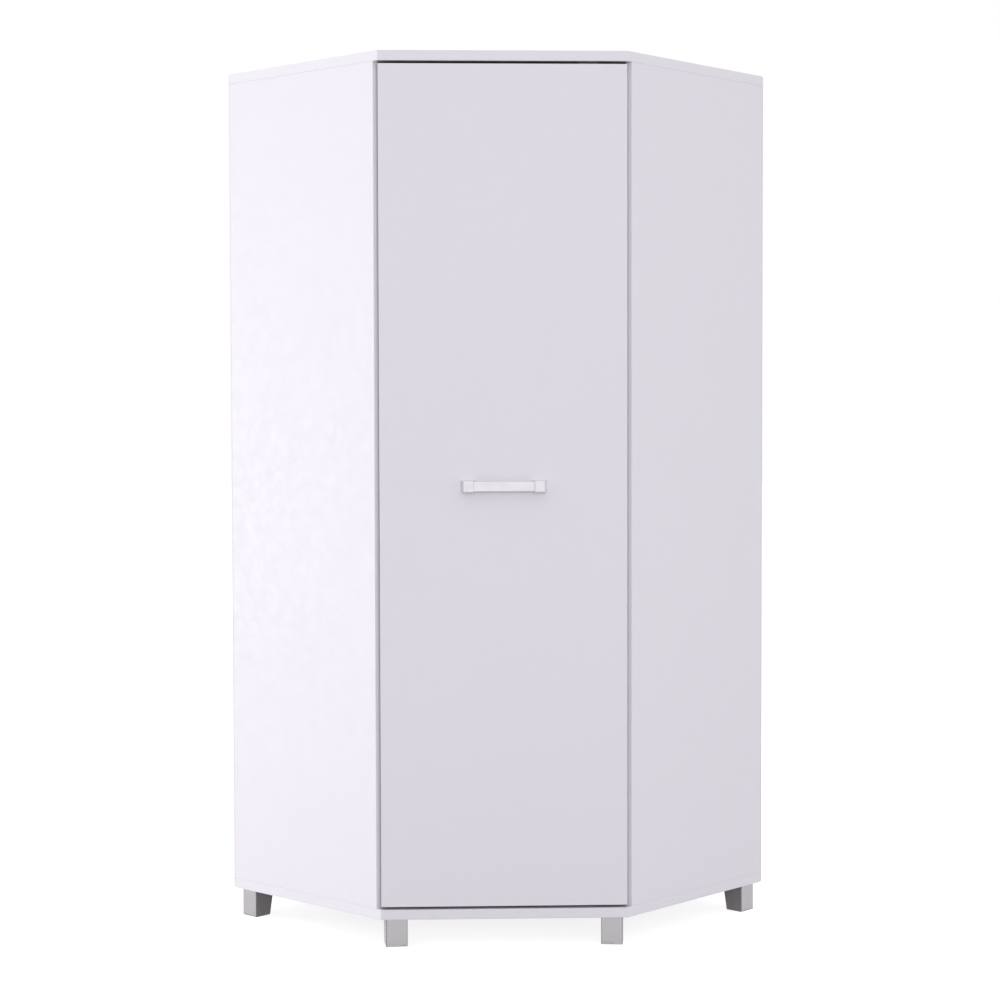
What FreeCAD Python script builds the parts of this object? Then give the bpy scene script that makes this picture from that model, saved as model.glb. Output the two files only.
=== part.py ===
"""Corner wardrobe: a five-sided carcase that stands in a room corner, with one hinged front door.

The part stands on z = 0 with the door facing -Y, and its origin is under the middle of its box.
Boards are drawn in the wall frame: its x and y run from the rear corner along the two room walls.
All sizes are in millimetres.
"""
import FreeCAD, Part
import math
import os

Vec = FreeCAD.Vector

# Plan and height of the carcase
wall_run = 870.0
side_run = 490.0
carcase_height = 1875.0
foot_height = 60.0

# Board thicknesses
board_thick = 22.0
panel_thick = 16.0
door_thick = 16.0
shelf_thick = 16.0
back_thick = 3.0
edge_round = 0.8

# Door and the square front ends of the side panels
door_side_gap = 1.0
door_end_gap = 6.0
panel_setback = 13.5
back_reveal = 2.0

# Rear corner post
post_width = 100.0

# Shelf
shelf_drop = 300.0
shelf_setback = 70.0
shelf_gap = 2.0
pin_radius = 2.5
pin_sunk = 9.0
pin_reach = 8.0
pin_collar_radius = 4.5
pin_collar_thick = 1.5
pin_from_end = 60.0

# Hanging rail
rail_radius = 12.5
rail_wall = 1.2
rail_length = 800.0
rail_depth = 330.0
rail_drop = 60.0
hanger_from_end = 40.0
hanger_width = 14.0
hanger_ring = 3.0
hanger_plate_length = 56.0
hanger_plate_thick = 3.0
hanger_neck = 12.0
hanger_screw_spacing = 40.0
cap_thick = 3.0
cap_plug_length = 10.0
slide_gap = 0.15

# Feet
foot_width = 47.0
foot_top_depth = 55.0
foot_base_depth = 44.0
foot_round = 3.0
foot_wall = 3.0
foot_boss_radius = 7.0
foot_well_radius = 5.0
foot_web = 6.0
foot_screw_spacing = 22.0
foot_screw_bite = 10.0
front_foot_inset = 8.5
front_foot_setback = 4.0
front_foot_turn = 7.0
side_foot_inset = 26.0
side_foot_setback = 3.0
rear_foot_distance = 36.0

# Handle: its posts flare towards the door, its grip lies back from their faces
handle_face_length = 175.5
handle_height = 25.0
handle_projection = 28.0
handle_above_middle = 4.0
handle_post_face = 21.5
handle_post_flare = 5.8
handle_grip_thick = 5.0
handle_grip_recess = 4.0
handle_grip_inset = 1.4
handle_tongue = 8.0
handle_round = 2.0
handle_socket_gap = 0.1
handle_screw_sunk = 16.0

# Hinges: one pin each, in a cup let into the back of the door
hinge_count = 4
hinge_from_end = 100.0
cup_radius = 17.5
cup_depth = 11.5
cup_edge_margin = 3.0
cup_floor = 1.0
cup_rim = 1.0
cup_pocket_width = 18.0
cup_fit = 0.1
flange_thick = 1.2
flange_width = 22.0
flange_length = 62.0
flange_screw_spacing = 48.0
flange_screw_offset = 6.0
hinge_corner_round = 3.0
pivot_from_edge = 9.5
pivot_from_back = 6.5
pivot_pin_radius = 1.5
pivot_pin_clearance = 0.05
pivot_pin_length = 22.0
arm_thick = 4.0
arm_width = 12.0
arm_eye_radius = 3.4
arm_hook_reach = 13.0
arm_hook_rise = 14.5
arm_landing = 14.0
arm_tail = 62.0
plate_thick = 2.5
plate_length = 44.0
plate_height = 56.0
plate_from_end = 40.0
plate_screw_spacing = 32.0
arm_screw_from_tail = 9.0

# Magnetic catch under the top board
catch_length = 46.0
catch_depth = 15.0
catch_height = 15.5
catch_from_side = 60.0
catch_gap = 0.3
catch_round = 1.5
catch_screw_spacing = 36.0
catch_screw_bite = 10.0
magnet_length = 24.0
magnet_thick = 4.0
strike_length = 40.0
strike_height = 7.0
strike_thick = 1.5
strike_drop = 7.5
strike_screw_spacing = 32.0
pin_screw_radius = 1.25

# Wall brackets under the top board
bracket_leg = 40.0
bracket_width = 20.0
bracket_thick = 2.0
bracket_from_corner = 420.0
bracket_round = 4.0
wall_hole_radius = 3.0
bracket_screw_from_bend = 22.0

# Cam locks, cam bolts and dowels
cam_radius = 7.5
cam_length = 12.5
cam_from_end = 24.0
cam_slot_width = 1.6
cam_slot_depth = 3.0
bolt_radius = 3.0
bolt_bite = 11.0
dowel_radius = 4.0
dowel_length = 30.0
dowel_bite = 11.0
joint_from_end = 60.0
dowel_step = 45.0
post_cam_from_edge = 30.0
post_dowel_from_edge = 62.0

# Screws and nails
screw_radius = 1.75
screw_head_ratio = 2.0
screw_head_height = 2.2
short_screw = 12.0
wood_screw = 14.0
machine_screw_radius = 2.0
post_screw_radius = 2.5
post_screw_length = 50.0
post_screw_count = 3
post_screw_from_end = 300.0
nail_radius = 0.9
nail_head_radius = 2.4
nail_head_height = 0.9
nail_length = 18.0
nails_along_board = 3
nails_up_panel = 5
nail_from_corner = 160.0
nail_from_end = 150.0
bore_gap = 0.05

# Two places closer than this are the same
same_place = 0.01

# Angles of the plan, in degrees: the two walls are square to each other, the sides 45 to the door
side_turn = 45.0
about_turn = 180.0
wall_turn = about_turn + side_turn

# Values that follow from the sizes above
diagonal = math.sin(math.radians(side_turn))
front_line = wall_run + side_run
depth_to_front = front_line * diagonal
front_half_width = (wall_run - side_run) * diagonal
rear_corner_y = (depth_to_front + handle_projection) / 2
front_y = rear_corner_y - depth_to_front
bottom_z = foot_height
inside_floor = bottom_z + board_thick
top_z = bottom_z + carcase_height
inside_roof = top_z - board_thick
panel_inner = wall_run - panel_thick
panel_front = side_run - panel_setback
post_inner = back_thick + panel_thick
post_edge = back_thick + post_width
shelf_top = inside_roof - shelf_drop
shelf_under = shelf_top - shelf_thick
door_bottom = inside_floor + door_end_gap
door_top = inside_roof - door_end_gap
door_back_y = front_y + door_thick
door_left_x = -front_half_width + door_side_gap
door_width = 2 * (front_half_width - door_side_gap)
handle_z = (door_bottom + door_top) / 2 + handle_above_middle
pivot_x = door_left_x + pivot_from_edge
pivot_y = door_back_y - pivot_from_back
cup_x = door_left_x + cup_edge_margin + cup_radius
hinge_step = (door_top - door_bottom - 2 * hinge_from_end) / (hinge_count - 1)
hinge_heights = [door_bottom + hinge_from_end + hinge_step * n for n in range(hinge_count)]
rail_y = front_y + rail_depth
rail_z = shelf_under - rail_drop

# Holes to be cut in each piece, collected while the fasteners are made
bores = {}


def box(x0, x1, y0, y1, z0, z1):
    """A block between two corners."""
    return Part.makeBox(x1 - x0, y1 - y0, z1 - z0, Vec(x0, y0, z0))


def prism(points, z0, z1):
    """An upright prism over a plan outline."""
    corners = [Vec(x, y, z0) for x, y in points]
    face = Part.Face(Part.makePolygon(corners + corners[:1]))
    return face.extrude(Vec(0, 0, z1 - z0))


def rod(radius, length, start, direction):
    """A round bar from a point along a direction."""
    return Part.makeCylinder(radius, length, start, direction)


def softened(shape, radius):
    """The shape with every edge rounded."""
    return shape.makeFillet(radius, shape.Edges)


def to_room(shape):
    """A shape of the wall frame, turned into the part's own frame."""
    placed = shape.copy()
    placed.rotate(Vec(0, 0, 0), Vec(0, 0, 1), wall_turn)
    placed.translate(Vec(0, rear_corner_y, 0))
    return placed


def mirrored_wall(shape):
    """A shape of the left half of the wall frame, mirrored to the right half."""
    return shape.mirror(Vec(0, 0, 0), Vec(1, -1, 0))


def drill(node, tool):
    """Note a hole for a piece, in the part's frame."""
    bores.setdefault(node, []).append(tool)


def headed(radius, length, head_radius, head_height, seat, direction):
    """A screw or nail whose head's underside is at the seat, pointing along the direction."""
    shank = rod(radius, length, seat, direction)
    head = rod(head_radius, head_height, seat, -direction)
    return shank.fuse(head).removeSplitter()


def screw_into(nodes, radius, length, head_height, seat, direction):
    """A screw, with its hole drilled in each of the pieces that it holds."""
    for node in nodes:
        drill(node, rod(radius + bore_gap, length + bore_gap, seat, direction))
    return headed(radius, length, screw_head_ratio * radius, head_height, seat, direction)


def sunk_screw(nodes, radius, length, start, direction):
    """A screw whose head lies flush in the first of the pieces that it holds."""
    head_radius = screw_head_ratio * radius
    seat = start + direction * screw_head_height
    drill(nodes[0], rod(head_radius + bore_gap, screw_head_height, start, direction))
    return screw_into(nodes, radius, length, screw_head_height, seat, direction)


def room_point(x, y, z):
    """A point of the wall frame, in the part's frame."""
    return Vec((y - x) * diagonal, rear_corner_y - (x + y) * diagonal, z)


def room_direction(x, y):
    """A level direction of the wall frame, in the part's frame."""
    return Vec((y - x) * diagonal, -(x + y) * diagonal, 0)


def for_both_sides(make):
    """Call a maker for the left half, and again with wall axes swapped for the right half."""
    made = []
    for side in ("left", "right"):
        swap = side == "right"

        def point(x, y, z, swap=swap):
            return room_point(y, x, z) if swap else room_point(x, y, z)

        def direction(x, y, swap=swap):
            return room_direction(y, x) if swap else room_direction(x, y)

        made.extend(make(side, point, direction))
    return made


def five_sided_board(z0):
    """Top or bottom board, with the front corners cut off by the door's line."""
    plan = [
        (back_thick, back_thick),
        (wall_run, back_thick),
        (wall_run, side_run),
        (side_run, wall_run),
        (back_thick, wall_run),
    ]
    return to_room(softened(prism(plan, z0, z0 + board_thick), edge_round))


def side_panel():
    """Left side panel, square cut at its front end."""
    panel = box(panel_inner, wall_run, back_thick, panel_front, inside_floor, inside_roof)
    return softened(panel, edge_round)


def back_panel(start):
    """Thin back panel along the left wall, beginning at a distance from the rear corner."""
    return box(start, wall_run, 0, back_thick, bottom_z + back_reveal, top_z - back_reveal)


def rear_post(start):
    """Strip of the rear corner post that lies along the left wall."""
    return box(start, post_edge, back_thick, post_inner, inside_floor, inside_roof)


def shelf_board():
    """Shelf, notched round the rear post and cut parallel to the door in front."""
    wall_edge = back_thick + shelf_gap
    side_edge = panel_inner - shelf_gap
    notch_near = post_inner + shelf_gap
    notch_far = post_edge + shelf_gap
    front_edge = front_line - shelf_setback / diagonal - side_edge
    half_plan = [
        (notch_near, notch_near),
        (notch_far, notch_near),
        (notch_far, wall_edge),
        (side_edge, wall_edge),
        (side_edge, front_edge),
    ]
    other_half = [(y, x) for x, y in reversed(half_plan[1:])]
    return to_room(prism(half_plan + other_half, shelf_under, shelf_top))


def door_slab():
    """Door blank between the two boards."""
    slab = box(door_left_x, door_left_x + door_width, front_y, door_back_y, door_bottom, door_top)
    return softened(slab, edge_round)


def foot():
    """Moulded foot: upright outer face at y = 0, inner face raked back, hollow above its floor."""
    def wedge(inset, z0, z1):
        rake = (foot_top_depth - foot_base_depth) / foot_height
        side = [
            Vec(0, inset, z0),
            Vec(0, foot_base_depth + rake * z0 - inset, z0),
            Vec(0, foot_base_depth + rake * z1 - inset, z1),
            Vec(0, inset, z1),
        ]
        face = Part.Face(Part.makePolygon(side + side[:1]))
        face.translate(Vec(inset - foot_width / 2, 0, 0))
        return face.extrude(Vec(foot_width - 2 * inset, 0, 0))

    body = wedge(0, 0, foot_height)
    upright = [e for e in body.Edges if abs(e.Vertexes[0].Z - e.Vertexes[1].Z) > foot_height / 2]
    body = body.makeFillet(foot_round, upright)
    body = body.cut(wedge(foot_wall, foot_wall, foot_height))
    for place in foot_screw_places():
        body = body.fuse(rod(foot_boss_radius, foot_height, place, Vec(0, 0, 1)))
    for place in foot_screw_places():
        body = body.cut(rod(foot_well_radius, foot_height - foot_web, place, Vec(0, 0, 1)))
        body = body.cut(rod(screw_radius + bore_gap, foot_height, place, Vec(0, 0, 1)))
    return body.removeSplitter()


def foot_screw_places():
    """Foot screw positions in the foot's own frame."""
    middle = foot_base_depth / 2
    return [Vec(side * foot_screw_spacing / 2, middle, 0) for side in (-1, 1)]


def foot_seats():
    """Name, turn and place of each foot's outer face middle."""
    side_near = side_foot_inset + foot_width / 2
    side_out = wall_run - side_foot_setback
    return [
        ("foot_front_left", front_foot_turn, front_foot_place(-1, front_foot_turn)),
        ("foot_front_right", -front_foot_turn, front_foot_place(1, -front_foot_turn)),
        ("foot_left", -side_turn, room_point(side_out, side_near, 0)),
        ("foot_right", side_turn, room_point(side_near, side_out, 0)),
        ("foot_rear", about_turn, Vec(0, rear_corner_y - rear_foot_distance, 0)),
    ]


def front_foot_place(side, turn):
    """Outer face middle of a front foot that is turned about the middle of its base."""
    to_middle = Vec(0, foot_base_depth / 2, 0)
    x = side * (front_half_width - front_foot_inset - foot_width / 2)
    middle = Vec(x, front_y + front_foot_setback, 0) + to_middle
    return middle - FreeCAD.Rotation(Vec(0, 0, 1), turn).multVec(to_middle)


def make_feet(nodes):
    """The five feet and the screws that hold them to the bottom board."""
    screws = []
    for name, turn, place in foot_seats():
        piece = foot()
        piece.rotate(Vec(0, 0, 0), Vec(0, 0, 1), turn)
        piece.translate(place)
        nodes[name] = piece
        for spot in foot_screw_places():
            turned = FreeCAD.Rotation(Vec(0, 0, 1), turn).multVec(spot)
            seat = place + turned + Vec(0, 0, foot_height - foot_web)
            length = foot_web + foot_screw_bite
            screws.append(
                screw_into(["bottom_board"], screw_radius, length, screw_head_height, seat, Vec(0, 0, 1))
            )
    nodes["foot_screws"] = Part.makeCompound(screws)


def cam_joint(panel, board, point, inward, up):
    """Cam lock and cam bolt: point is on the panel's inner face at the board, up leads to the board."""
    centre = point - up * cam_from_end
    axis_foot = point - inward * (panel_thick / 2)
    bolt = rod(bolt_radius, cam_from_end + bolt_bite, axis_foot - up * cam_from_end, up)
    bolt_hole = rod(
        bolt_radius + bore_gap, cam_from_end + bolt_bite + 2 * bore_gap,
        axis_foot - up * (cam_from_end + bore_gap), up,
    )
    cam = rod(cam_radius, cam_length, centre, -inward).cut(bolt_hole)
    slot = rod(cam_slot_width / 2, cam_slot_depth, centre, -inward)
    cam = cam.cut(slot)
    drill(panel, rod(cam_radius + bore_gap, cam_length + bore_gap, centre, -inward))
    drill(panel, bolt_hole)
    drill(board, bolt_hole)
    return cam, bolt


def dowel_joint(panel, board, point, up):
    """Wooden dowel across the joint at a point on the panel's middle plane."""
    start = point - up * (dowel_length - dowel_bite)
    for node in (panel, board):
        hole_start = start - up * bore_gap
        drill(node, rod(dowel_radius + bore_gap, dowel_length + 2 * bore_gap, hole_start, up))
    return rod(dowel_radius, dowel_length, start, up)


def make_carcase_joints(nodes):
    """Cam locks, bolts and dowels of the side panels and the rear post strips."""
    cams = []
    bolts = []
    dowels = []
    ends = (("bottom_board", inside_floor, Vec(0, 0, -1)), ("top_board", inside_roof, Vec(0, 0, 1)))

    def joints(side, point, direction):
        panel = side + "_side_panel"
        post = "rear_post_" + side
        inward = direction(-1, 0)
        post_inward = direction(0, 1)
        for board, height, up in ends:
            near_wall = back_thick + joint_from_end
            near_front = panel_front - joint_from_end
            for along, step in ((near_wall, dowel_step), (near_front, -dowel_step)):
                cam, bolt = cam_joint(panel, board, point(panel_inner, along, height), inward, up)
                cams.append(cam)
                bolts.append(bolt)
                middle = point(panel_inner + panel_thick / 2, along + step, height)
                dowels.append(dowel_joint(panel, board, middle, up))
            along = post_edge - post_cam_from_edge
            cam, bolt = cam_joint(post, board, point(along, post_inner, height), post_inward, up)
            cams.append(cam)
            bolts.append(bolt)
            middle = point(post_edge - post_dowel_from_edge, post_inner - panel_thick / 2, height)
            dowels.append(dowel_joint(post, board, middle, up))
        return []

    for_both_sides(joints)
    nodes["cam_locks"] = Part.makeCompound(cams)
    nodes["cam_bolts"] = Part.makeCompound(bolts)
    nodes["wooden_dowels"] = Part.makeCompound(dowels)


def spread(start, end, count):
    """Evenly spaced values from start to end."""
    return [start + (end - start) * n / (count - 1) for n in range(count)]


def make_back_nails(nodes):
    """Nails through the back panels into the boards, side panels and post, heads flush."""
    def nails(side, point, direction):
        inward = direction(0, 1)
        back = side + "_back_panel"
        made = []
        runs = []
        along = spread(nail_from_corner, wall_run - nail_from_corner, nails_along_board)
        for x in along:
            runs.append(("bottom_board", x, bottom_z + board_thick / 2))
            runs.append(("top_board", x, top_z - board_thick / 2))
        for z in spread(inside_floor + nail_from_end, inside_roof - nail_from_end, nails_up_panel):
            runs.append((side + "_side_panel", wall_run - panel_thick / 2, z))
            runs.append(("rear_post_" + side, post_inner + (post_edge - post_inner) / 2, z))
        for node, x, z in runs:
            seat = point(x, 0, z) + inward * nail_head_height
            drill(node, rod(nail_radius + bore_gap, nail_length, seat, inward))
            drill(back, rod(nail_radius + bore_gap, nail_length, seat, inward))
            drill(back, rod(nail_head_radius + bore_gap, nail_head_height, point(x, 0, z), inward))
            length = nail_length - nail_head_height
            made.append(headed(nail_radius, length, nail_head_radius, nail_head_height, seat, inward))
        return made

    nodes["back_panel_nails"] = Part.makeCompound(for_both_sides(nails))


def make_post_screws(nodes):
    """Screws that hold the two post strips together, flush under the left back panel."""
    screws = []
    inward = room_direction(0, 1)
    strips = ["rear_post_left", "rear_post_right"]
    lowest = inside_floor + post_screw_from_end
    highest = inside_roof - post_screw_from_end
    for z in spread(lowest, highest, post_screw_count):
        start = room_point(back_thick + panel_thick / 2, back_thick, z)
        screws.append(sunk_screw(strips, post_screw_radius, post_screw_length, start, inward))
    nodes["post_screws"] = Part.makeCompound(screws)


def make_shelf_pins(nodes):
    """Pins that carry the shelf, in the side panels and the post strips."""
    axis_z = shelf_under - pin_radius

    def pins(side, point, direction):
        made = []
        inward = direction(-1, 0)
        side_front = front_line - shelf_setback / diagonal - panel_inner
        for along in (back_thick + pin_from_end, side_front - pin_from_end):
            made.append(shelf_pin(side + "_side_panel", point(panel_inner, along, axis_z), inward))
        along = post_inner + (post_edge - post_inner) / 2 + 2 * pin_collar_radius
        made.append(shelf_pin("rear_post_" + side, point(along, post_inner, axis_z), direction(0, 1)))
        return made

    nodes["shelf_pins"] = Part.makeCompound(for_both_sides(pins))


def shelf_pin(panel, seat, inward):
    """One shelf pin with its collar against the panel."""
    drill(panel, rod(pin_radius + bore_gap, pin_sunk + bore_gap, seat, -inward))
    pin = rod(pin_radius, pin_sunk + pin_reach, seat - inward * pin_sunk, inward)
    collar = rod(pin_collar_radius, pin_collar_thick, seat, inward)
    return pin.fuse(collar).removeSplitter()


def make_rail(nodes):
    """Hanging rail with end caps, on two hangers screwed under the shelf."""
    start = Vec(-rail_length / 2, rail_y, rail_z)
    along = Vec(1, 0, 0)
    bore_radius = rail_radius - rail_wall
    rail = rod(rail_radius, rail_length, start, along)
    nodes["hanging_rail"] = rail.cut(rod(bore_radius, rail_length, start, along))
    caps = []
    for side in (-1, 1):
        outward = Vec(side, 0, 0)
        end = Vec(side * rail_length / 2, rail_y, rail_z)
        plug = rod(bore_radius - bore_gap, cap_plug_length, end, -outward)
        caps.append(rod(rail_radius, cap_thick, end, outward).fuse(plug).removeSplitter())
    nodes["rail_end_caps"] = Part.makeCompound(caps)
    screws = []
    for name, side in (("rail_hanger_left", -1), ("rail_hanger_right", 1)):
        x = side * (rail_length / 2 - hanger_from_end)
        nodes[name] = rail_hanger(x)
        for y_side in (-1, 1):
            place = Vec(x, rail_y + y_side * hanger_screw_spacing / 2, shelf_under - hanger_plate_thick)
            screws.append(
                screw_into(
                    [name, "shelf"], screw_radius, short_screw, screw_head_height, place, Vec(0, 0, 1)
                )
            )
    nodes["hanger_screws"] = Part.makeCompound(screws)


def rail_hanger(x):
    """Hanger: foot plate under the shelf, neck and closed ring round the rail."""
    x0 = x - hanger_width / 2
    x1 = x + hanger_width / 2
    half = hanger_plate_length / 2
    plate = box(x0, x1, rail_y - half, rail_y + half, shelf_under - hanger_plate_thick, shelf_under)
    ring_radius = rail_radius + slide_gap + hanger_ring
    neck_half = hanger_neck / 2
    neck = box(x0, x1, rail_y - neck_half, rail_y + neck_half, rail_z, shelf_under - hanger_plate_thick)
    ring = rod(ring_radius, hanger_width, Vec(x0, rail_y, rail_z), Vec(1, 0, 0))
    hole = rod(rail_radius + slide_gap, hanger_width, Vec(x0, rail_y, rail_z), Vec(1, 0, 0))
    return plate.fuse(neck).fuse(ring).cut(hole).removeSplitter()


def make_wall_brackets(nodes):
    """Angle brackets under the top board, each with a hole for a wall screw through the back panel."""
    screws = []

    def brackets(side, point, direction):
        inward = direction(0, 1)
        name = "wall_bracket_" + side
        low = inside_roof - bracket_leg
        x0 = bracket_from_corner - bracket_width / 2
        x1 = bracket_from_corner + bracket_width / 2
        upright = box(x0, x1, back_thick, back_thick + bracket_thick, low, inside_roof)
        level = box(x0, x1, back_thick, back_thick + bracket_leg, inside_roof - bracket_thick, inside_roof)
        angle = upright.fuse(level).removeSplitter()
        angle = angle.makeFillet(bracket_round, bracket_ends(angle, low))
        nodes[name] = to_room(angle if side == "left" else mirrored_wall(angle))
        outside = point(bracket_from_corner, 0, inside_roof - bracket_leg / 2)
        hole = rod(wall_hole_radius, back_thick + bracket_thick, outside, inward)
        drill(name, hole)
        drill(side + "_back_panel", hole)
        off_wall = back_thick + bracket_screw_from_bend
        seat = point(bracket_from_corner, off_wall, inside_roof - bracket_thick)
        screws.append(
            screw_into(
                [name, "top_board"], screw_radius, short_screw, screw_head_height, seat, Vec(0, 0, 1)
            )
        )
        return []

    for_both_sides(brackets)
    nodes["bracket_screws"] = Part.makeCompound(screws)


def bracket_ends(angle, low):
    """The short edges at the free ends of both bracket legs."""
    ends = []
    for edge in angle.Edges:
        middle = edge.CenterOfMass
        short = abs(edge.Length - bracket_thick) < same_place
        at_low = abs(middle.z - low) < same_place
        at_tip = abs(middle.y - back_thick - bracket_leg) < same_place
        if short and (at_low or at_tip):
            ends.append(edge)
    return ends


def make_handle(nodes):
    """Strap handle: two end posts screwed from inside the door, and the grip let into them."""
    low = handle_z - handle_height / 2
    high = handle_z + handle_height / 2
    outer = handle_face_length / 2
    inner = outer - handle_post_face
    face_y = front_y - handle_projection
    grip_front = face_y + handle_grip_recess
    grip_back = grip_front + handle_grip_thick
    tongue = inner + handle_tongue

    def strap(room):
        bar = box(
            -tongue - room, tongue + room, grip_front - room, grip_back + room,
            low + handle_grip_inset - room, high - handle_grip_inset + room,
        )
        lengthwise = [e for e in bar.Edges if e.Length > handle_face_length / 2]
        return bar.makeFillet(handle_round, lengthwise)

    nodes["handle_grip"] = strap(0)
    socket = strap(handle_socket_gap)
    screws = []
    for name, side in (("handle_post_left", -1), ("handle_post_right", 1)):
        middle = side * (inner + outer) / 2
        nodes[name] = handle_post(middle, face_y, low, high).cut(socket)
        seat = Vec(middle, door_back_y, handle_z)
        length = door_thick + handle_screw_sunk
        screws.append(
            screw_into(
                [name, "door"], machine_screw_radius, length, screw_head_height, seat, Vec(0, -1, 0)
            )
        )
    nodes["handle_screws"] = Part.makeCompound(screws)


def handle_post(middle, face_y, low, high):
    """End post that flares to both sides towards the door, with a rounded face."""
    def outline(half, y):
        left = middle - half
        right = middle + half
        corners = [Vec(left, y, low), Vec(right, y, low), Vec(right, y, high), Vec(left, y, high)]
        return Part.makePolygon(corners + corners[:1])

    face_half = handle_post_face / 2
    post = Part.makeLoft(
        [outline(face_half + handle_post_flare, front_y), outline(face_half, face_y)], True, True
    )
    return post.makeFillet(handle_round, front_edges(post, face_y))


def front_edges(post, face_y):
    """The edges round the front face of a handle post."""
    return [e for e in post.Edges if all(abs(v.Y - face_y) < same_place for v in e.Vertexes)]


def panel_point(along, off):
    """A plan point beside the left side panel: along from its front end, off its inner face."""
    back = panel_setback + along
    out = panel_thick + off
    x = -front_half_width + (out - back) * diagonal
    y = front_y + (out + back) * diagonal
    return Vec(x, y, 0)


def hinge_cup(z):
    """Hinge cup with its flange, pocket and the bore of its pin."""
    back = Vec(cup_x, door_back_y, z)
    cup = rod(cup_radius, cup_depth, back, Vec(0, -1, 0))
    half = flange_length / 2
    side = flange_width / 2
    flange = box(cup_x - side, cup_x + side, door_back_y, door_back_y + flange_thick, z - half, z + half)
    corners = [e for e in flange.Edges if abs(e.Length - flange_thick) < same_place]
    flange = flange.makeFillet(hinge_corner_round, corners)
    rim = rod(cup_radius, flange_thick, back, Vec(0, 1, 0))
    depth = cup_depth - cup_floor + flange_thick
    mouth = Vec(cup_x, door_back_y + flange_thick, z)
    pocket = rod(cup_radius - cup_rim, depth, mouth, Vec(0, -1, 0))
    wide = cup_pocket_width / 2
    slot = box(cup_x - cup_radius, cup_x + cup_radius, front_y, mouth.y, z - wide, z + wide)
    cup = cup.fuse(flange).fuse(rim).cut(pocket.common(slot))
    return cup.cut(pivot_pin(z)).removeSplitter()


def pivot_pin(z):
    """Hinge pin across the pocket of a cup."""
    lower_end = Vec(pivot_x, pivot_y, z - pivot_pin_length / 2)
    return rod(pivot_pin_radius, pivot_pin_length, lower_end, Vec(0, 0, 1))


def hinge_arm(z):
    """Cranked arm from the pin, out of the cup and back along the side panel."""
    off = plate_thick + arm_thick / 2
    low = Vec(0, 0, z - arm_width / 2)
    pivot = Vec(pivot_x, pivot_y, 0)
    route = [
        pivot + low,
        pivot + Vec(arm_hook_reach, 0, 0) + low,
        pivot + Vec(arm_hook_reach, arm_hook_rise, 0) + low,
        panel_point(arm_landing, off) + low,
        panel_point(arm_tail, off) + low,
    ]
    spine = Part.makePolygon(route)
    outline = spine.makeOffset2D(arm_thick / 2, 0, False, False, False)
    arm = Part.Face(outline).extrude(Vec(0, 0, arm_width))
    eye = rod(arm_eye_radius, arm_width, route[0], Vec(0, 0, 1))
    bore = rod(pivot_pin_radius + pivot_pin_clearance, arm_width, route[0], Vec(0, 0, 1))
    return arm.fuse(eye).cut(bore).removeSplitter()


def make_hinges(nodes):
    """Hinges down the left edge of the door, each with its screws."""
    groups = {name: [] for name in (
        "hinge_cups", "hinge_pins", "hinge_arms", "hinge_plates",
        "hinge_cup_screws", "hinge_plate_screws", "hinge_arm_screws",
    )}
    into_panel = panel_point(0, 0) - panel_point(0, 1)
    for z in hinge_heights:
        groups["hinge_cups"].append(hinge_cup(z))
        groups["hinge_pins"].append(pivot_pin(z))
        groups["hinge_arms"].append(hinge_arm(z))
        groups["hinge_plates"].append(hinge_plate(z))
        hole = Vec(cup_x, door_back_y, z)
        drill("door", rod(cup_radius + cup_fit, cup_depth + cup_fit, hole, Vec(0, -1, 0)))
        for side in (-1, 1):
            up = side * flange_screw_spacing / 2
            seat = Vec(cup_x + flange_screw_offset, door_back_y + flange_thick, z + up)
            groups["hinge_cup_screws"].append(
                screw_into(
                    ["hinge_cups", "door"], screw_radius, short_screw, screw_head_height,
                    seat, Vec(0, -1, 0),
                )
            )
            up = side * plate_screw_spacing / 2
            seat = panel_point(plate_from_end, plate_thick) + Vec(0, 0, z + up)
            groups["hinge_plate_screws"].append(
                screw_into(
                    ["hinge_plates", "left_side_panel"], screw_radius, wood_screw, screw_head_height,
                    seat, into_panel,
                )
            )
        seat = panel_point(arm_tail - arm_screw_from_tail, plate_thick + arm_thick) + Vec(0, 0, z)
        groups["hinge_arm_screws"].append(
            screw_into(
                ["hinge_arms", "hinge_plates", "left_side_panel"], machine_screw_radius,
                wood_screw + arm_thick, screw_head_height, seat, into_panel,
            )
        )
    for name, pieces in groups.items():
        nodes[name] = Part.makeCompound(pieces)


def hinge_plate(z):
    """Mounting plate on the inner face of the left side panel."""
    near = panel_front - plate_from_end
    half = plate_length / 2
    tall = plate_height / 2
    plate = box(panel_inner - plate_thick, panel_inner, near - half, near + half, z - tall, z + tall)
    corners = [e for e in plate.Edges if abs(e.Length - plate_thick) < same_place]
    return to_room(plate.makeFillet(hinge_corner_round, corners))


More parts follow.
